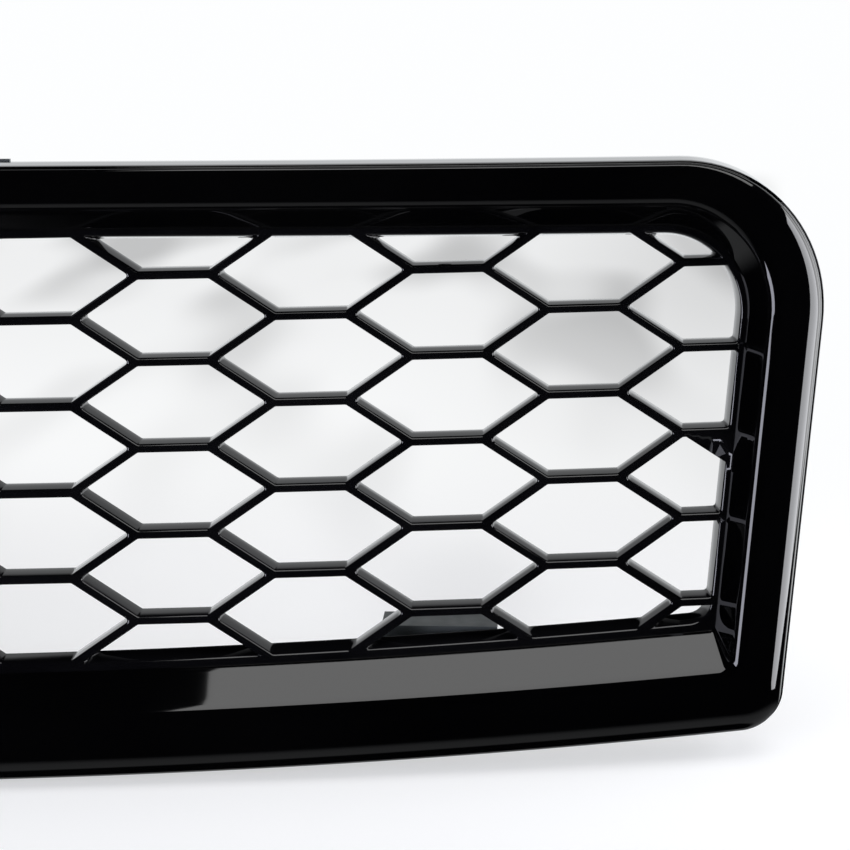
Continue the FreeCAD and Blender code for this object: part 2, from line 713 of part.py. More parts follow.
def build_pin(name, place):
    """Centre pin of a push retainer, pushed home."""
    x, y, z = place
    top = z + size("retainer_gap") + size("retainer_head_thickness") + size("pin_gap")
    length = top - z + size("sheet_metal") + size("retainer_shank_length") - size("pin_end")
    shank = rod(name, "sizes.pin_radius", f"{length:.4f} + 0.5", (x, y, top - length))
    head = rod(name, "sizes.pin_head", "sizes.pin_head_thickness", (x, y, top))
    feature = fused(name, [shank, head])
    group(name, [feature])


# ---------------------------------------------------------------- build everything

PARTS.append(shaped("surround", build_surround()))
PARTS.append(shaped("honeycomb_mesh", build_mesh()))
for group_name in SCREW_ROWS:
    build_screws(group_name)
build_upper_centre_bracket()

for side, word in ((-1, "left"), (1, "right")):
    build_upper_bracket(side, word)
    build_lower_bracket(side, word)
    build_flank_bracket(side, word)
    lower_z = size("lower_top") - size("lower_drop") + size("nut_edge")
    lower_hole = FreeCAD.Vector(side * size("lower_x"), leg_front("lower") + size("sheet_metal"), lower_z)
    build_u_nut(f"lower_{word}_u_nut", lower_hole, FreeCAD.Vector(0, 0, -1), FreeCAD.Vector(0, 1, 0))
    flank_y = leg_front("flank") + size("side_tab") - size("nut_edge")
    flank_z = size("flank_level") + size("flank_half")
    flank_hole = FreeCAD.Vector(side * sum(flank_edges()[1:]) / 2, flank_y, flank_z)
    build_u_nut(f"{word}_flank_u_nut", flank_hole, FreeCAD.Vector(0, 1, 0), FreeCAD.Vector(0, 0, 1))
    tab_y = leg_front("upper") + size("retainer_setback")
    for step, place_word in ((-1, "inner"), (1, "outer")):
        spot = (side * (size("upper_x") + step * size("retainer_spread")), tab_y, size("upper_tab"))
        build_retainer(f"{word}_{place_word}_retainer", spot)
        build_pin(f"{word}_{place_word}_retainer_pin", spot)

doc.recompute()
for feature in doc.Objects:
    if "Invalid" in feature.State or "Error" in feature.State:
        raise RuntimeError(f"{feature.Name} is {feature.State}")
for feature in PARTS:
    shape = feature.Shape
    if shape.isNull() or not shape.isValid():
        raise RuntimeError(f"{feature.Label} has no valid shape")
    print(feature.Label, len(shape.Solids), round(shape.Volume))
for feature in PARTS:
    feature.Shape.exportStep(f"parts/{feature.Label}.step")
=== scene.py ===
import json
import math

import bmesh
import bpy
import numpy as np
from mathutils import Matrix, Vector, geometry


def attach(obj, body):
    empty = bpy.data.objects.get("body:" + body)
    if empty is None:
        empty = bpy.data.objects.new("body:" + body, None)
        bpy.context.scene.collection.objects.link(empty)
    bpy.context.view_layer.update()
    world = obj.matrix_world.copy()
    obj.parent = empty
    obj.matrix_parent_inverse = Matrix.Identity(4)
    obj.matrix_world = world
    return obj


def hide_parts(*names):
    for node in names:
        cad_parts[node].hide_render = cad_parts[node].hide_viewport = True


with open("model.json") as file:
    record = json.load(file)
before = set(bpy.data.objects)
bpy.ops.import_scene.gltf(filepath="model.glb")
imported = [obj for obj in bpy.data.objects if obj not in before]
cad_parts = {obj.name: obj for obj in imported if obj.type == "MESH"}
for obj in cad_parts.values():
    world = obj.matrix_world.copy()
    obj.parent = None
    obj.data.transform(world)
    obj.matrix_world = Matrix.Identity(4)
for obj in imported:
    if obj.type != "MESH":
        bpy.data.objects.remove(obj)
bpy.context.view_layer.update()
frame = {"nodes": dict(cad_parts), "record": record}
scene = bpy.context.scene
scene.view_settings.view_transform = "Standard"

# The formulas below are in millimetres in the frame of the CAD model; MM turns them into metres.
MM = 0.001

# ---------------------------------------------------------------- sizes, millimetres

FRONT_DATUM = -49.5
OPENING_TOP = -11.2
OPENING_BOTTOM = -260.3
OPENING_SIDE = 492.1
SIDE_LEVEL = -160.5
SIDE_FLARE = 0.0975
TOP_SLOPE = 0.0155
TOP_CROWN = 80.0
BOTTOM_RISE = 0.000052
TOP_SPREAD = 1.4e-7
SIDE_SPREAD = 0.0001
LEAN = 0.2388
NOSE_HALF = 60.0
NOSE_SLOPE = 0.0911
SWEEP = 0.00016
TOP_RADIUS = 47.5
BOTTOM_RADIUS = 14.0

ROW_DATUM = -10.5
ROW_PITCH = 50.0
COLUMN_PITCH = 81.25
HALF_FLAT = 21.63
BAR_FRONT = 4.7
BAR_BACK = 5.7
BAR_DEPTH = 13.7
RIM_TAPER = 2.7
RIM_TAPER_TOP = 3.6
RIM_WIDTH = 5.0
PLATE = 3.2
FLANGE = (36.5, 42.0, 54.0)
FLANGE_RADII = (83.5, 22.0)
BAR_ROUND = 1.9
BAR_ROUND_BELOW = 1.1
BACK_ROUND = 0.5
CELL_CORNER = 2.2
SMALLEST_CELL = 12.0

FACE_DEPTH = 26.8
WALL_GAP = 0.3
SKIN = 2.8
RETURN_DEPTH = -6.0
BASE_CORNER = 3.0
LIP_REACH = 17.0
WALL_BEND = (4.5, 5.8)
CROWN_DROP = 1.0
INNER_CROWN = 1.7
INNER_BEND = 1.5
RIM_ROUND = 0.6
LEDGE_ROUND = 0.5
EDGE_ROUND = 0.7
TOP_GROWTH = (0.92, 0.8)
BOTTOM_GROWTH = 0.5

SEAT = 1.5
PAD_RADIUS = 6.5
PAD_BORE = 2.3
BOSS_RADIUS = 5.0
BOSS_BORE = 1.75
BOSS_GAP = 0.1
BOSS_ROOT = 4.2
HEAD_THICKNESS = 2.4
SHEET_METAL = 2.55
HEAD_GAP = 0.05

SPAN_POINTS = 121
CORNER_POINTS = 25
SIDE_POINTS = 25
FRONT_LEVELS = 9
BACK_LEVELS = 4
LOOP_ANGLES = 24
ANGLE_GAP = 2e-3
TRUE_CORNER = math.radians(14)


# ---------------------------------------------------------------- the swept surface

def plan(x):
    """Rearward travel of the front surface at x, from the centreline."""
    out = abs(x)
    if out < NOSE_HALF:
        return NOSE_SLOPE * out * out / NOSE_HALF / 2
    beyond = out - NOSE_HALF
    return NOSE_SLOPE * NOSE_HALF / 2 + NOSE_SLOPE * beyond + SWEEP * beyond * beyond / 2


def front(x, z):
    """y of the honeycomb's front surface."""
    return FRONT_DATUM + plan(x) + LEAN * (z - OPENING_TOP)


def opening_side(z):
    return OPENING_SIDE + SIDE_FLARE * (z - SIDE_LEVEL)


def opening_top(x):
    return OPENING_TOP - TOP_SLOPE * (math.hypot(x, TOP_CROWN) - TOP_CROWN)


def opening_bottom(x):
    return OPENING_BOTTOM + BOTTOM_RISE * x * x


def fractions(count):
    return [k / (count - 1) for k in range(count)]


def top_edge(x, offset):
    return opening_top(x) + offset * (1 + TOP_SPREAD * x * x)


def bottom_edge(x, offset):
    return opening_bottom(x) - offset


def side_edge(z, offset):
    return opening_side(z) + offset * (1 + SIDE_SPREAD * (z - SIDE_LEVEL))


def corner(edge, offset, sign, side_offset, radius):
    """Centre, tangent x and end angles of the right-hand arc between a top or bottom edge and the side."""
    flare = SIDE_FLARE + side_offset * SIDE_SPREAD
    stretch = math.hypot(1, flare)

    def centre(x):
        tilt = edge(x + 0.5, offset) - edge(x - 0.5, offset)
        length = math.hypot(1, tilt)
        normal = (-sign * tilt / length, sign / length)
        return x - radius * normal[0], edge(x, offset) - radius * normal[1], normal

    low, high = 0.0, 2 * OPENING_SIDE
    for _ in range(50):
        middle = (low + high) / 2
        cx, cz, normal = centre(middle)
        beyond = (cx - side_edge(cz, side_offset)) / stretch + radius
        low, high = (middle, high) if beyond < 0 else (low, middle)
    return cx, cz, middle, math.atan2(normal[1], normal[0]), math.atan2(-flare, 1)


def outline(top, side, bottom, top_radius, bottom_radius):
    """Eight stretches of points, clockwise from the top: top, corner, right, corner, bottom and so on."""
    up = corner(top_edge, top, 1, side, top_radius)
    down = corner(bottom_edge, bottom, -1, side, bottom_radius)

    def arc(place, radius):
        cx, cz, _, start, end = place
        angles = [start + (end - start) * share for share in fractions(CORNER_POINTS)]
        return [(cx + radius * math.cos(a), cz + radius * math.sin(a)) for a in angles]

    top_right = arc(up, top_radius)
    bottom_right = arc(down, bottom_radius)[::-1]
    across = [up[2] * (2 * share - 1) for share in fractions(SPAN_POINTS)]
    back = [down[2] * (1 - 2 * share) for share in fractions(SPAN_POINTS)]
    first, last = top_right[-1], bottom_right[0]
    right = [(first[0] + (last[0] - first[0]) * s, first[1] + (last[1] - first[1]) * s)
             for s in fractions(SIDE_POINTS)]

    def mirrored(points):
        return [(-x, z) for x, z in reversed(points)]

    return [
        [(x, top_edge(x, top)) for x in across],
        top_right,
        right,
        bottom_right,
        [(x, bottom_edge(x, bottom)) for x in back],
        mirrored(bottom_right),
        mirrored(right),
        mirrored(top_right),
    ]


def ring(offsets, radii, depths):
    """One closed loop of (x, y, z) points round the opening, at these offsets and depths."""
    top, side, bottom = depths
    ends = [(top, top), (top, side), (side, side), (side, bottom),
            (bottom, bottom), (bottom, side), (side, side), (side, top)]
    points = []
    for (start, end), stretch in zip(ends, outline(*offsets, *radii)):
        for share, (x, z) in list(zip(fractions(len(stretch)), stretch))[:-1]:
            ease = (1 - math.cos(math.pi * share)) / 2
            points.append((x, front(x, z) - start - (end - start) * ease, z))
    return points


# ---------------------------------------------------------------- mesh helpers

class Piece:
    """Points and faces of one piece, in millimetres."""

    def __init__(self):
        self.points = []
        self.faces = []

    def add(self, points):
        start = len(self.points)
        self.points += [tuple(p) for p in points]
        return start

    def loops(self, loops, closed=False):
        """Quads between consecutive closed loops of the same number of points."""
        starts = [self.add(loop) for loop in loops]
        count = len(loops[0])
        pairs = list(zip(starts, starts[1:]))
        if closed:
            pairs.append((starts[-1], starts[0]))
        for a, b in pairs:
            for k in range(count):
                after = (k + 1) % count
                self.faces.append((a + k, a + after, b + after, b + k))
        return starts

    def tube(self, x, z, start, end, outer, bore, count=40, edge=0.35):
        """Ring-shaped boss along Y, with its edges broken."""
        profile = [(bore, start + edge), (bore + edge, start), (outer - edge, start), (outer, start + edge),
                   (outer, end - edge), (outer - edge, end), (bore + edge, end), (bore, end - edge)]
        self.loops([circle(x, z, radius, y, count) for radius, y in profile], closed=True)

    def build(self, name, material, weld=0.0005):
        mesh = bpy.data.meshes.new(name)
        mesh.from_pydata([tuple(MM * value for value in p) for p in self.points], [], self.faces)
        work = bmesh.new()
        work.from_mesh(mesh)
        bmesh.ops.remove_doubles(work, verts=work.verts, dist=weld * MM)
        bmesh.ops.recalc_face_normals(work, faces=work.faces)
        for face in work.faces:
            face.smooth = True
        work.to_mesh(mesh)
        work.free()
        mesh.materials.append(material)
        obj = bpy.data.objects.new(name, mesh)
        scene.collection.objects.link(obj)
        return obj


def circle(x, z, radius, y, count=40):
    angles = [math.tau * k / count for k in range(count)]
    return [(x + radius * math.cos(a), y, z + radius * math.sin(a)) for a in angles]


def bent(before, point, after, radius, count=5):
    """Points that round off one corner of a profile."""
    def along(target):
        length = math.hypot(target[0] - point[0], target[1] - point[1])
        share = min(radius, length * 0.45) / length
        return tuple(point[i] + (target[i] - point[i]) * share for i in (0, 1))

    return [quadratic(along(before), point, along(after), share) for share in fractions(count)]


def quadratic(a, b, c, share):
    return tuple((1 - share) ** 2 * a[i] + 2 * share * (1 - share) * b[i] + share ** 2 * c[i] for i in (0, 1))


def straight(a, b, count):
    """Points between a and b, without the two ends."""
    return [tuple(a[i] + (b[i] - a[i]) * share for i in (0, 1)) for share in fractions(count + 2)[1:-1]]


# ---------------------------------------------------------------- materials

def material(name, base, roughness, metallic=0.0, coat=0.0, coat_roughness=0.03):
    made = bpy.data.materials.new(name)
    made.use_nodes = True
    shader = made.node_tree.nodes["Principled BSDF"]
    shader.inputs["Base Color"].default_value = (*base, 1)
    shader.inputs["Roughness"].default_value = roughness
    shader.inputs["Metallic"].default_value = metallic
    shader.inputs["Coat Weight"].default_value = coat
    shader.inputs["Coat Roughness"].default_value = coat_roughness
    return made


def noise(made, scale, detail=3.0, stretch=(1, 1, 1)):
    """Noise over the object's own coordinates, in metres."""
    nodes, links = made.node_tree.nodes, made.node_tree.links
    place = nodes.new("ShaderNodeTexCoord")
    mapping = nodes.new("ShaderNodeMapping")
    mapping.inputs["Scale"].default_value = stretch
    texture = nodes.new("ShaderNodeTexNoise")
    texture.inputs["Scale"].default_value = scale
    texture.inputs["Detail"].default_value = detail
    links.new(place.outputs["Object"], mapping.inputs["Vector"])
    links.new(mapping.outputs["Vector"], texture.inputs["Vector"])
    return texture.outputs["Fac"]


def vary(made, source, socket, low, high):
    """A number socket of the shader goes between low and high, by the source."""
    nodes, links = made.node_tree.nodes, made.node_tree.links
    spread = nodes.new("ShaderNodeMapRange")
    spread.inputs["From Min"].default_value = 0.3
    spread.inputs["From Max"].default_value = 0.7
    spread.inputs["To Min"].default_value = low
    spread.inputs["To Max"].default_value = high
    links.new(source, spread.inputs["Value"])
    links.new(spread.outputs["Result"], nodes["Principled BSDF"].inputs[socket])


def tint(made, source, first, second):
    """Base colour between first and second, by the source."""
    nodes, links = made.node_tree.nodes, made.node_tree.links
    blend = nodes.new("ShaderNodeValToRGB")
    for element, position, colour in zip(blend.color_ramp.elements, (0.35, 0.65), (first, second)):
        element.position = position
        element.color = (*colour, 1)
    links.new(source, blend.inputs["Fac"])
    links.new(blend.outputs["Color"], nodes["Principled BSDF"].inputs["Base Color"])


def relief(made, source, strength, distance):
    nodes, links = made.node_tree.nodes, made.node_tree.links
    bump = nodes.new("ShaderNodeBump")
    bump.inputs["Strength"].default_value = strength
    bump.inputs["Distance"].default_value = distance
    links.new(source, bump.inputs["Height"])
    links.new(bump.outputs["Normal"], nodes["Principled BSDF"].inputs["Normal"])


def gloss_black():
    made = material("gloss_black", (0.0009, 0.0009, 0.0011), 0.04)
    tint(made, noise(made, 6.0), (0.0006, 0.0006, 0.0008), (0.0012, 0.0012, 0.0014))
    vary(made, noise(made, 18.0, 4.0), "Roughness", 0.025, 0.055)
    relief(made, noise(made, 70.0, 1.0), 0.012, 0.0004)
    return made


def mesh_black():
    made = material("mesh_black", (0.003, 0.003, 0.0035), 0.07)
    tint(made, noise(made, 25.0), (0.0022, 0.0022, 0.0028), (0.0038, 0.0038, 0.0045))
    vary(made, noise(made, 60.0, 4.0), "Roughness", 0.05, 0.09)
    relief(made, noise(made, 160.0, 2.0), 0.03, 0.0004)
    return made


def bracket_steel():
    made = material("bracket_steel", (0.11, 0.125, 0.125), 0.42, metallic=0.25, coat=0.1, coat_roughness=0.3)
    tint(made, noise(made, 40.0, 5.0), (0.1, 0.115, 0.118), (0.13, 0.145, 0.145))
    vary(made, noise(made, 120.0, 5.0), "Roughness", 0.34, 0.5)
    relief(made, noise(made, 900.0, 2.0), 0.12, 0.0003)
    return made


def zinc():
    made = material("zinc_screw", (0.56, 0.57, 0.58), 0.32, metallic=1.0)
    tint(made, noise(made, 300.0, 4.0), (0.48, 0.49, 0.5), (0.63, 0.63, 0.62))
    vary(made, noise(made, 800.0, 4.0), "Roughness", 0.24, 0.42)
    relief(made, noise(made, 1500.0, 2.0), 0.08, 0.0002)
    return made


def spring_steel():
    made = material("spring_steel", (0.16, 0.16, 0.165), 0.38, metallic=1.0)
    tint(made, noise(made, 200.0, 5.0), (0.12, 0.12, 0.125), (0.2, 0.2, 0.2))
    vary(made, noise(made, 350.0, 4.0), "Roughness", 0.3, 0.5)
    relief(made, noise(made, 700.0, 3.0, (1, 1, 6)), 0.1, 0.0003)
    return made


def nylon():
    made = material("retainer_nylon", (0.018, 0.018, 0.018), 0.5)
    tint(made, noise(made, 150.0), (0.015, 0.015, 0.015), (0.024, 0.024, 0.024))
    vary(made, noise(made, 400.0, 4.0), "Roughness", 0.42, 0.62)
    relief(made, noise(made, 1800.0, 2.0), 0.15, 0.0002)
    return made


MATERIALS = {
    "gloss_black": gloss_black(),
    "mesh_black": mesh_black(),
    "bracket_steel": bracket_steel(),
    "zinc_screw": zinc(),
    "spring_steel": spring_steel(),
    "retainer_nylon": nylon(),
}
SLOTS = {entry["node"]: entry["material_slot"] for entry in frame["record"]["subparts"]}


def finish_piece(obj, slot, *nodes):
    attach(obj, "grille")
    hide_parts(*nodes)


# ---------------------------------------------------------------- screws, read from the CAD nodes

def islands(node):
    """Separate solids of a CAD node, each as an array of points in millimetres."""
    work = bmesh.new()
    work.from_mesh(frame["nodes"][node].data)
    bmesh.ops.remove_doubles(work, verts=work.verts, dist=1e-6)
    work.verts.ensure_lookup_table()
    seen, found = set(), []
    for vert in work.verts:
        if vert in seen:
            continue
        stack, members = [vert], []
        seen.add(vert)
        while stack:
            current = stack.pop()
            members.append(tuple(current.co / MM))
            for edge in current.link_edges:
                other = edge.other_vert(current)
                if other not in seen:
                    seen.add(other)
                    stack.append(other)
        found.append(np.array(members))
    work.free()
    return found


SCREW_NODES = sorted(node for node, slot in SLOTS.items() if slot == "zinc_screw")
SCREWS = []
for node in SCREW_NODES:
    for points in islands(node):
        low, high = points.min(0), points.max(0)
        SCREWS.append((node, (low[0] + high[0]) / 2, (low[2] + high[2]) / 2, low[1], high[1], high[0] - low[0]))


# ---------------------------------------------------------------- surround

def section(base, lip, start, end, round_end, step, rise, flare):
    """Cross-section of the surround on one side: (distance outside the opening, depth) pairs."""
    wall_end, wall_top, crown = lip - WALL_BEND[0], FACE_DEPTH - WALL_BEND[1], FACE_DEPTH - CROWN_DROP
    slope = (wall_end - base) / (wall_top - WALL_GAP)
    foot, wall = (base, WALL_GAP), (wall_end, wall_top)
    bend = (wall[0] + slope * (FACE_DEPTH - wall_top), FACE_DEPTH)
    after = (bend[0] + math.hypot(bend[0] - wall[0], FACE_DEPTH - wall_top), FACE_DEPTH)
    shoulder_start, shoulder_end = (start, crown), (end, round_end)

    def quarter(flat, steep, count):
        """Quarter ellipse that leaves flat level and arrives at steep upright."""
        angles = [math.pi / 2 * share for share in fractions(count)]
        return [(flat[0] + (steep[0] - flat[0]) * math.sin(a), steep[1] + (flat[1] - steep[1]) * math.cos(a))
                for a in angles]

    rear = end + rise + flare
    inner = (min(start, end - SKIN - INNER_CROWN), crown - SKIN)
    inner_end = (end - SKIN, max(round_end, step))
    wall_skin = SKIN * math.hypot(1, slope)
    inner_top = (base + wall_skin + slope * (FACE_DEPTH - SKIN - WALL_GAP), FACE_DEPTH - SKIN)
    inner_foot = (base + wall_skin, WALL_GAP)
    ledge, rim = (end, step), (end + rise, step)
    tail, inner_tail = (rear, RETURN_DEPTH), (rear - SKIN, RETURN_DEPTH)
    points = bent(inner_foot, foot, wall, EDGE_ROUND)
    points += straight(foot, wall, 5)
    points += [quadratic(wall, bend, after, share) for share in fractions(15)]
    points += straight(after, shoulder_start, 5)
    points += quarter(shoulder_start, shoulder_end, 25)
    points += bent(shoulder_end, ledge, rim, LEDGE_ROUND)
    points += bent(ledge, rim, tail, RIM_ROUND)
    points += straight(rim, tail, 3)
    points += bent(rim, tail, inner_tail, EDGE_ROUND)
    points += bent(tail, inner_tail, inner_end, EDGE_ROUND)
    points += quarter(inner, inner_end, 9)[::-1]
    points += straight(inner, inner_top, 3)
    points += bent(inner, inner_top, inner_foot, INNER_BEND)
    points += bent(inner_top, inner_foot, foot, EDGE_ROUND)
    return points


SIDE_BASE = 3.5
SECTIONS = (
    section(base=3.4, lip=21.8, start=40.5, end=41.6, round_end=23.8, step=20.0, rise=1.2, flare=-0.4),
    section(base=SIDE_BASE, lip=17.4, start=33.7, end=47.1, round_end=11.0, step=9.5, rise=1.7, flare=0.3),
    section(base=3.9, lip=23.2, start=38.0, end=62.0, round_end=6.0, step=5.0, rise=1.0, flare=0.3),
)


def surround_radii(offset):
    """Top and bottom corner radii of the surround's outline at this distance beside the opening."""
    within = min(offset, LIP_REACH)
    beyond = max(offset - LIP_REACH, 0.0)
    top = TOP_RADIUS + TOP_GROWTH[0] * within + TOP_GROWTH[1] * beyond
    return top, BASE_CORNER + BOTTOM_GROWTH * max(offset - SIDE_BASE, 0.0)


def build_surround():
    piece = Piece()
    rings = []
    for vertex in zip(*SECTIONS):
        offsets, depths = zip(*vertex)
        rings.append(ring(offsets, surround_radii(offsets[1]), depths))
    piece.loops(rings, closed=True)
    for _, x, z, _, _, _ in SCREWS:
        surface = front(x, z)
        piece.tube(x, z, surface - FACE_DEPTH + BOSS_ROOT, surface - SEAT - BOSS_GAP, BOSS_RADIUS, BOSS_BORE)
    obj = piece.build("surround_skin", MATERIALS["gloss_black"])
    finish_piece(obj, "gloss_black", "surround")


# ---------------------------------------------------------------- honeycomb

def hexagon(bar_half):
    """Corners of a cell, bar_half in from its centre lines."""
    half_cell, half_row = COLUMN_PITCH - HALF_FLAT, ROW_PITCH / 2
    edge = math.hypot(half_cell - HALF_FLAT, half_row)
    tip = half_cell - bar_half * edge / half_row
    level = half_row - bar_half
    near = tip - level * (half_cell - HALF_FLAT) / half_row
    return [(tip, 0), (near, level), (-near, level), (-tip, 0), (-near, -level), (near, -level)]


def cell_centres():
    columns = int(OPENING_SIDE / COLUMN_PITCH) + 2
    for column in range(-columns, columns + 1):
        x = column * COLUMN_PITCH
        z = ROW_DATUM + (ROW_PITCH / 2 if column % 2 else 0.0)
        while z + ROW_PITCH / 2 > OPENING_BOTTOM:
            yield x, z
            z -= ROW_PITCH


def opening_loop(offset, top=None):
    """Anticlockwise loop of (x, z) points of the opening, grown by offset, or by top along its top edge."""
    radii = (TOP_RADIUS + offset, BOTTOM_RADIUS + offset)
    points = []
    for stretch in outline(offset if top is None else top, offset, offset, *radii):
        points += stretch[:-1]
    return points[::-1]


def clipped(polygon, bounds):
    """The part of a convex polygon inside a convex anticlockwise loop."""
    for a, b in zip(bounds, bounds[1:] + bounds[:1]):
        normal = (b[1] - a[1], a[0] - b[0])
        sides = [(p[0] - a[0]) * normal[0] + (p[1] - a[1]) * normal[1] for p in polygon]
        if max(sides, default=1) <= 0:
            continue
        kept = []
        for k, point in enumerate(polygon):
            before, side_before = polygon[k - 1], sides[k - 1]
            if (side_before > 0) != (sides[k] > 0):
                share = side_before / (side_before - sides[k])
                kept.append(tuple(before[i] + (point[i] - before[i]) * share for i in (0, 1)))
            if sides[k] <= 0:
                kept.append(point)
        polygon = kept
        if len(polygon) < 3:
            return []
    return polygon


def area_and_centre(polygon):
    area = cx = cz = 0.0
    for (ax, az), (bx, bz) in zip(polygon, polygon[1:] + polygon[:1]):
        cross = ax * bz - bx * az
        area += cross / 2
        cx += (ax + bx) * cross / 6
        cz += (az + bz) * cross / 6
    return area, (cx / area, cz / area)


def rounded(polygon, radius, count=6):
    """A convex anticlockwise polygon with its true corners rounded."""
    points = []
    for k, point in enumerate(polygon):
        before, after = polygon[k - 1], polygon[(k + 1) % len(polygon)]
        first = (point[0] - before[0], point[1] - before[1])
        second = (after[0] - point[0], after[1] - point[1])
        lengths = math.hypot(*first), math.hypot(*second)
        if min(lengths) < 1e-4:
            continue
        across = first[0] * second[1] - first[1] * second[0]
        turn = math.atan2(across, first[0] * second[0] + first[1] * second[1])
        if turn < TRUE_CORNER:
            points.append(point)
            continue
        reach = min(radius * math.tan(turn / 2), 0.45 * min(lengths))
        start = tuple(point[i] - first[i] / lengths[0] * reach for i in (0, 1))
        end = tuple(point[i] + second[i] / lengths[1] * reach for i in (0, 1))
        points += [quadratic(start, point, end, share) for share in fractions(count)]
    return points


def reach_along(polygon, centre, angles):
    """Distance from the centre to a convex polygon, at each angle."""
    loop = np.array(polygon) - np.array(centre)
    step = np.roll(loop, -1, axis=0) - loop
    keep = np.hypot(*step.T) > 1e-7
    loop, step = loop[keep], step[keep]
    normal = np.stack([step[:, 1], -step[:, 0]], axis=1)
    offset = (normal * loop).sum(1)
    heading = np.stack([np.cos(angles), np.sin(angles)], axis=1)
    facing = heading @ normal.T
    with np.errstate(divide="ignore", invalid="ignore"):
        distance = np.where(facing > 1e-12, offset / facing, np.inf)
    return distance.min(1)


def wall_levels(front_round):
    """(distance behind the front surface, extra half width of the hole) from the front face to the back."""
    levels = []
    for share in fractions(FRONT_LEVELS):
        angle = math.pi / 2 * share
        levels.append((front_round * (1 - math.cos(angle)), front_round * (1 - math.sin(angle))))
    levels.append((BAR_DEPTH / 2, 0.0))
    for share in fractions(BACK_LEVELS):
        angle = math.pi / 2 * share
        levels.append((BAR_DEPTH - BACK_ROUND * (1 - math.sin(angle)), BACK_ROUND * (1 - math.cos(angle))))
    return levels


def cell_shapes(x, z, levels, openings):
    """The cell's shapes at all levels, or nothing where it doesn't open."""
    shapes = []
    for (behind, extra), opening in zip(levels, openings):
        bar = BAR_FRONT / 2 + (BAR_BACK - BAR_FRONT) / 2 * behind / BAR_DEPTH - extra
        shape = clipped([(x + u, z + v) for u, v in hexagon(bar)], opening)
        if len(shape) < 3:
            return []
        shapes.append(shape)
    return shapes


def loop_angles(loops, centre):
    """Angles about the centre at which the cell's loops get a point: evenly spread, and at every corner's points."""
    angles = {round(math.tau * k / LOOP_ANGLES - math.pi, 4) for k in range(LOOP_ANGLES)}
    for loop in (loops[0], loops[FRONT_LEVELS - 1], loops[-1]):
        angles |= {round(math.atan2(z - centre[1], x - centre[0]), 4) for x, z in loop}
    angles = np.array(sorted(angles))
    return angles[np.append(True, np.diff(angles) > ANGLE_GAP)]


def cell_loops():
    """For each cell that opens: its loops of (x, z, behind), from the front face to the back.

    The bar under a cell has a larger front round than the bar over it."""
    kinds = []
    for front_round in (BAR_ROUND, BAR_ROUND_BELOW):
        levels = wall_levels(front_round)
        openings = [opening_loop(extra - RIM_TAPER * behind / BAR_DEPTH, extra - RIM_TAPER_TOP * behind / BAR_DEPTH)
                    for behind, extra in levels]
        kinds.append((levels, openings))
    cells = []
    for x, z in cell_centres():
        below, above = [cell_shapes(x, z, levels, openings) for levels, openings in kinds]
        if not below or not above:
            continue
        area, centre = min((area_and_centre(shape) for shape in below), key=lambda pair: pair[0])
        if area < SMALLEST_CELL:
            continue
        rounds = [[rounded(shape, CELL_CORNER + extra) for shape, (_, extra) in zip(shapes, levels)]
                  for shapes, (levels, _) in zip((below, above), kinds)]
        angles = loop_angles(rounds[0], centre)
        share = np.clip(0.5 - 2.0 * np.sin(angles), 0.0, 1.0)
        cell = []
        for k in range(len(rounds[0])):
            lower, upper = [reach_along(loops[k], centre, angles) for loops in rounds]
            reach = share * lower + (1 - share) * upper
            behind = share * kinds[0][0][k][0] + (1 - share) * kinds[1][0][k][0]
            cell.append([(centre[0] + r * math.cos(a), centre[1] + r * math.sin(a), b)
                         for a, r, b in zip(angles, reach, behind)])
        cells.append(cell)
    return cells


def raised(points):
    """(x, z, behind) points on or behind the front surface, as (x, y, z)."""
    return [(x, front(x, z) + behind, z) for x, z, behind in points]


def sheet_between(border, cells, level, behind):
    """Triangles of the surface inside border and outside the cells' loops, as (x, z) points and faces."""
    loops = [border] + [[(x, z) for x, z, _ in cell[level]] for cell in cells]
    points, edges, owners = [], [], []
    for number, loop in enumerate(loops):
        start = len(points)
        owners += [number] * len(loop)
        points += [Vector(point) for point in loop]
        edges += [(start + k, start + (k + 1) % len(loop)) for k in range(len(loop))]
    places, _, triangles, sources, _, _ = geometry.delaunay_2d_cdt(points, edges, [], 1, 1e-5)
    owner = [owners[found[0]] if found else 0 for found in sources]
    # a triangle with all its corners on one cell's loop lies in that cell's hole
    faces = [face for face in triangles if owner[face[0]] == 0 or len({owner[i] for i in face}) > 1]
    return raised([(x, z, behind) for x, z in places]), faces


def flange_loops(behind):
    """Loops across the fixing flange, from the rim's outer edge to the flange's edge."""
    loops = []
    for share in fractions(8):
        offsets = [RIM_WIDTH + (reach - RIM_WIDTH) * share for reach in FLANGE]
        radii = [start + (end - start) * share
                 for start, end in zip((TOP_RADIUS + RIM_WIDTH, BOTTOM_RADIUS + RIM_WIDTH), FLANGE_RADII)]
        loops.append(ring(offsets, radii, (-behind,) * 3))
    return loops


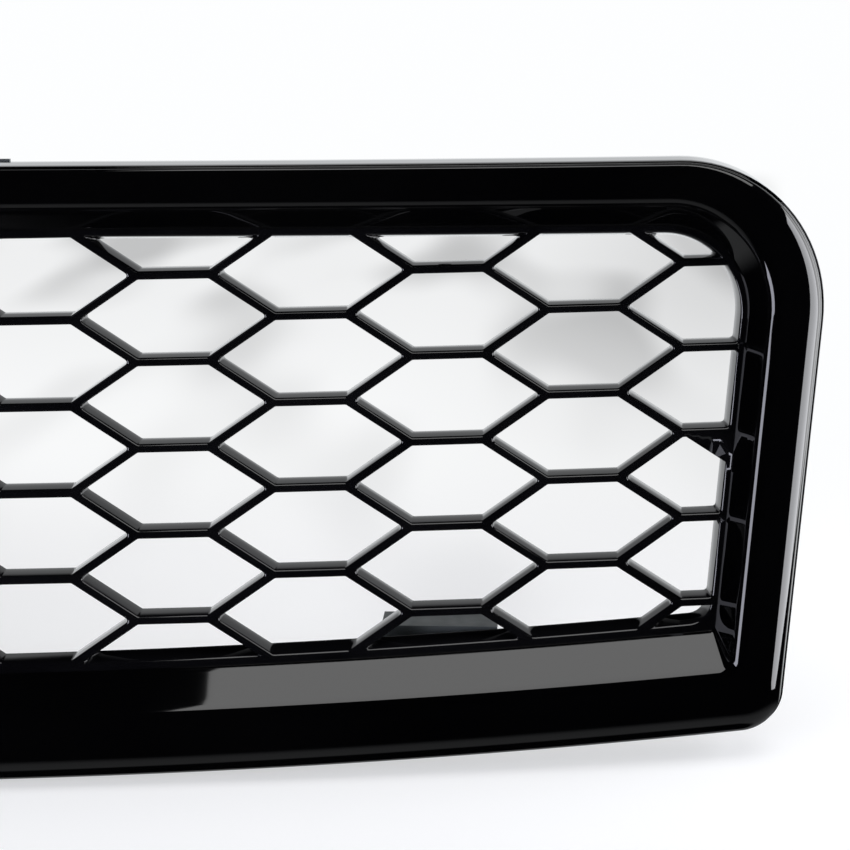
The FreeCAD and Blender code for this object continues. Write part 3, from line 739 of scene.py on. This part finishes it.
def build_honeycomb():
    piece = Piece()
    cells = cell_loops()
    for cell in cells:
        piece.loops([raised(loop) for loop in cell])
    border = opening_loop(RIM_WIDTH)
    for level, behind in ((0, 0.0), (-1, BAR_DEPTH)):
        points, faces = sheet_between(border, cells, level, behind)
        start = piece.add(points)
        piece.faces += [tuple(start + i for i in face) for face in faces]
    front_loops, back_loops = flange_loops(0.0), flange_loops(PLATE)
    piece.loops(front_loops + back_loops[::-1])
    rim_back = ring((RIM_WIDTH,) * 3, (TOP_RADIUS + RIM_WIDTH, BOTTOM_RADIUS + RIM_WIDTH), (-BAR_DEPTH,) * 3)
    piece.loops([back_loops[0], rim_back])
    for node, x, z, _, back, _ in SCREWS:
        pad_back = back - HEAD_THICKNESS - (SHEET_METAL if "bracket" in node else 0.0) - HEAD_GAP
        piece.tube(x, z, front(x, z) - SEAT, pad_back, PAD_RADIUS, PAD_BORE)
    obj = piece.build("honeycomb_insert", MATERIALS["mesh_black"], weld=0.002)
    finish_piece(obj, "mesh_black", "honeycomb_mesh")


build_surround()
build_honeycomb()

for name, node in frame["nodes"].items():
    node.data.materials.clear()
    node.data.materials.append(MATERIALS[SLOTS[name]])


# ---------------------------------------------------------------- studio, in metres

FLOOR_LEVEL = -0.3238
FLOOR_HALF = 12.0
SHADOW_END = (0.1, 0.6)
SIGHT_SLOPE = 0.1015


class Graph:
    """Shader nodes of one material or world."""

    def __init__(self, tree):
        self.nodes, self.links = tree.nodes, tree.links

    def add(self, kind, **values):
        made = self.nodes.new(kind)
        for socket, value in values.items():
            made.inputs[socket].default_value = value
        return made

    def parts(self, coordinate):
        """X, Y and Z of the object's own or the generated coordinates, and the coordinates themselves."""
        place = self.add("ShaderNodeTexCoord").outputs[coordinate]
        split = self.add("ShaderNodeSeparateXYZ")
        self.links.new(place, split.inputs[0])
        return (*split.outputs[:3], place)

    def ramp(self, source, low, high, start=0.0, end=1.0):
        """Smooth step of source from low to high, as a number from start to end."""
        spread = self.add("ShaderNodeMapRange")
        spread.interpolation_type = "SMOOTHSTEP"
        for socket, value in zip(("From Min", "From Max", "To Min", "To Max"), (low, high, start, end)):
            spread.inputs[socket].default_value = value
        self.links.new(source, spread.inputs["Value"])
        return spread.outputs["Result"]

    def combine(self, operation, first, second):
        made = self.add("ShaderNodeMath")
        made.operation = operation
        for socket, value in zip(made.inputs, (first, second)):
            if isinstance(value, float):
                socket.default_value = value
            else:
                self.links.new(value, socket)
        return made.outputs[0]

    def product(self, first, *others):
        for other in others:
            first = self.combine("MULTIPLY", first, other)
        return first

    def joined(self, kind, first, second):
        """Node of this kind that mixes or adds two shader nodes."""
        made = self.add(kind)
        for socket, shader in zip(list(made.inputs)[-2:], (first, second)):
            self.links.new(shader.outputs[0], socket)
        return made


def painted_shadow_patches(graph, x, y, place):
    """Painted shadow on the floor behind the openings: how much darker its glow is there, in soft patches, darker
    towards the right.
    """
    stretch = graph.add("ShaderNodeMapping", Scale=(1.0, 0.3, 1.0))
    clouds = graph.add("ShaderNodeTexNoise", Scale=5.0, Detail=1.0)
    graph.links.new(place, stretch.inputs["Vector"])
    graph.links.new(stretch.outputs["Vector"], clouds.inputs["Vector"])
    across = graph.combine("ADD", graph.combine("MULTIPLY", y, -SIGHT_SLOPE), x)
    where = graph.product(graph.ramp(across, 0.47, 0.545, 1.0, 0.0), graph.ramp(y, 0.0, 0.2),
                          graph.ramp(y, 1.9, 2.4, 1.0, 0.0))
    rightward = graph.ramp(across, 0.1, 0.5, 0.0, 0.16)
    depth = graph.combine("ADD", graph.ramp(clouds.outputs["Fac"], 0.42, 0.66, 0.1, 0.36), rightward)
    return graph.product(where, graph.product(depth, graph.ramp(y, 0.4, 1.5, 0.4, 1.25)))


def floor_material():
    """Pale and matt, with a glow of its own; behind the grille only the glow is left."""
    made = bpy.data.materials.new("floor")
    made.use_nodes = True
    graph = Graph(made.node_tree)
    shader = graph.nodes["Principled BSDF"]
    shader.inputs["Base Color"].default_value = (0.5, 0.5, 0.51, 1)
    shader.inputs["Roughness"].default_value = 0.8
    shader.inputs["Specular IOR Level"].default_value = 0.0
    x, y, _, place = graph.parts("Object")
    glow = graph.add("ShaderNodeEmission", Color=(0.985, 0.993, 1, 1))
    strength = graph.ramp(y, *SHADOW_END, 0.55, 1.0)
    # painted shadow: the floor's glow is dimmed in soft patches behind the grille
    strength = graph.combine("SUBTRACT", strength, painted_shadow_patches(graph, x, y, place))
    graph.links.new(strength, glow.inputs["Strength"])
    shadow_part = graph.joined("ShaderNodeMixShader", shader, graph.add("ShaderNodeEmission", Strength=0.0))
    graph.links.new(graph.ramp(y, *SHADOW_END), shadow_part.inputs["Fac"])
    both = graph.joined("ShaderNodeAddShader", shadow_part, glow)
    graph.links.new(both.outputs[0], graph.nodes["Material Output"].inputs["Surface"])
    return made


def floor():
    """Level floor under the grille, which takes its shadow and isn't mirrored in it."""
    mesh = bpy.data.meshes.new("floor")
    work = bmesh.new()
    bmesh.ops.create_grid(work, x_segments=4, y_segments=4, size=FLOOR_HALF)
    work.to_mesh(mesh)
    work.free()
    mesh.materials.append(floor_material())
    obj = bpy.data.objects.new("floor", mesh)
    obj.location = (0, 0, FLOOR_LEVEL)
    obj.visible_glossy = False
    scene.collection.objects.link(obj)


def panel(name, centre, target, width, height, radiance, colour=(1, 1, 1)):
    """Rectangular soft light of that radiance, which faces target."""
    light = bpy.data.lights.new(name, "AREA")
    light.shape = "RECTANGLE"
    light.size, light.size_y = width, height
    light.energy = radiance * math.pi * width * height
    light.color = colour
    obj = bpy.data.objects.new(name, light)
    obj.location = centre
    obj.rotation_euler = (Vector(target) - Vector(centre)).to_track_quat("-Z", "Y").to_euler()
    obj.visible_camera = False
    scene.collection.objects.link(obj)


def backdrop():
    """White all round for the camera; in reflections white behind the grille and dark in front of it."""
    world = bpy.data.worlds.new("studio")
    world.use_nodes = True
    scene.world = world
    graph = Graph(world.node_tree)
    graph.nodes.clear()
    _, y, z, _ = graph.parts("Generated")
    rear = graph.product(graph.ramp(y, 0.62, 0.8), graph.ramp(z, 0.42, 0.5, 1.0, 0.0), graph.ramp(z, -0.5, -0.35),
                         graph.ramp(z, 0.05, 0.22, 1.2, 0.52))
    below = graph.product(graph.ramp(z, -0.7, -0.45, 0.3, 0.0), graph.ramp(z, -0.92, -0.86))
    mirrored = graph.add("ShaderNodeBackground", Color=(0.96, 0.98, 1, 1))
    graph.links.new(graph.combine("MAXIMUM", rear, below), mirrored.inputs["Strength"])
    plain = graph.add("ShaderNodeBackground", Color=(1, 1, 1, 1))
    mix = graph.joined("ShaderNodeMixShader", mirrored, plain)
    graph.links.new(graph.add("ShaderNodeLightPath").outputs["Is Camera Ray"], mix.inputs["Fac"])
    graph.links.new(mix.outputs[0], graph.add("ShaderNodeOutputWorld").inputs["Surface"])


floor()
backdrop()
panel("overhead", (0.95, 0.0, 1.5), (0.95, 0.0, 0.0), 1.9, 1.2, 2.9)
panel("right_side", (1.8, -0.05, 0.05), (0.0, -0.05, 0.05), 1.14, 1.35, 7.0, (0.95, 0.96, 1.0))
panel("right_rear", (1.8, 0.91, 0.05), (0.0, 0.91, 0.05), 0.78, 1.35, 2.6, (0.97, 0.98, 1.0))
panel("left_front", (-0.9, -1.25, 0.0), (0.5, -0.05, -0.12), 0.9, 0.9, 8.0, (0.86, 0.87, 1.0))


# ---------------------------------------------------------------- camera

CAMERA_PLACE = (0.39525, -1.19684, 0.19422)
CAMERA_YAW = -0.0724
CAMERA_PITCH = 0.2705
CAMERA_ROLL = -0.01315
SENSOR_WIDTH = 36.0
LENS_TO_WIDTH = 2000.0 / 850.0


def camera():
    """Camera at the photo's angle: turned, tipped down and rolled a little."""
    level = math.cos(CAMERA_PITCH)
    ahead = Vector((math.sin(CAMERA_YAW) * level, math.cos(CAMERA_YAW) * level, -math.sin(CAMERA_PITCH)))
    right = Vector((math.cos(CAMERA_YAW), -math.sin(CAMERA_YAW), 0))
    up = right.cross(ahead)
    turned_right = math.cos(CAMERA_ROLL) * right + math.sin(CAMERA_ROLL) * up
    turned_up = -math.sin(CAMERA_ROLL) * right + math.cos(CAMERA_ROLL) * up
    data = bpy.data.cameras.new("camera")
    data.sensor_width = SENSOR_WIDTH
    data.lens = LENS_TO_WIDTH * SENSOR_WIDTH
    obj = bpy.data.objects.new("camera", data)
    turn = Matrix((turned_right, turned_up, -ahead)).transposed().to_4x4()
    obj.matrix_world = Matrix.Translation(CAMERA_PLACE) @ turn
    scene.collection.objects.link(obj)
    scene.camera = obj


camera()
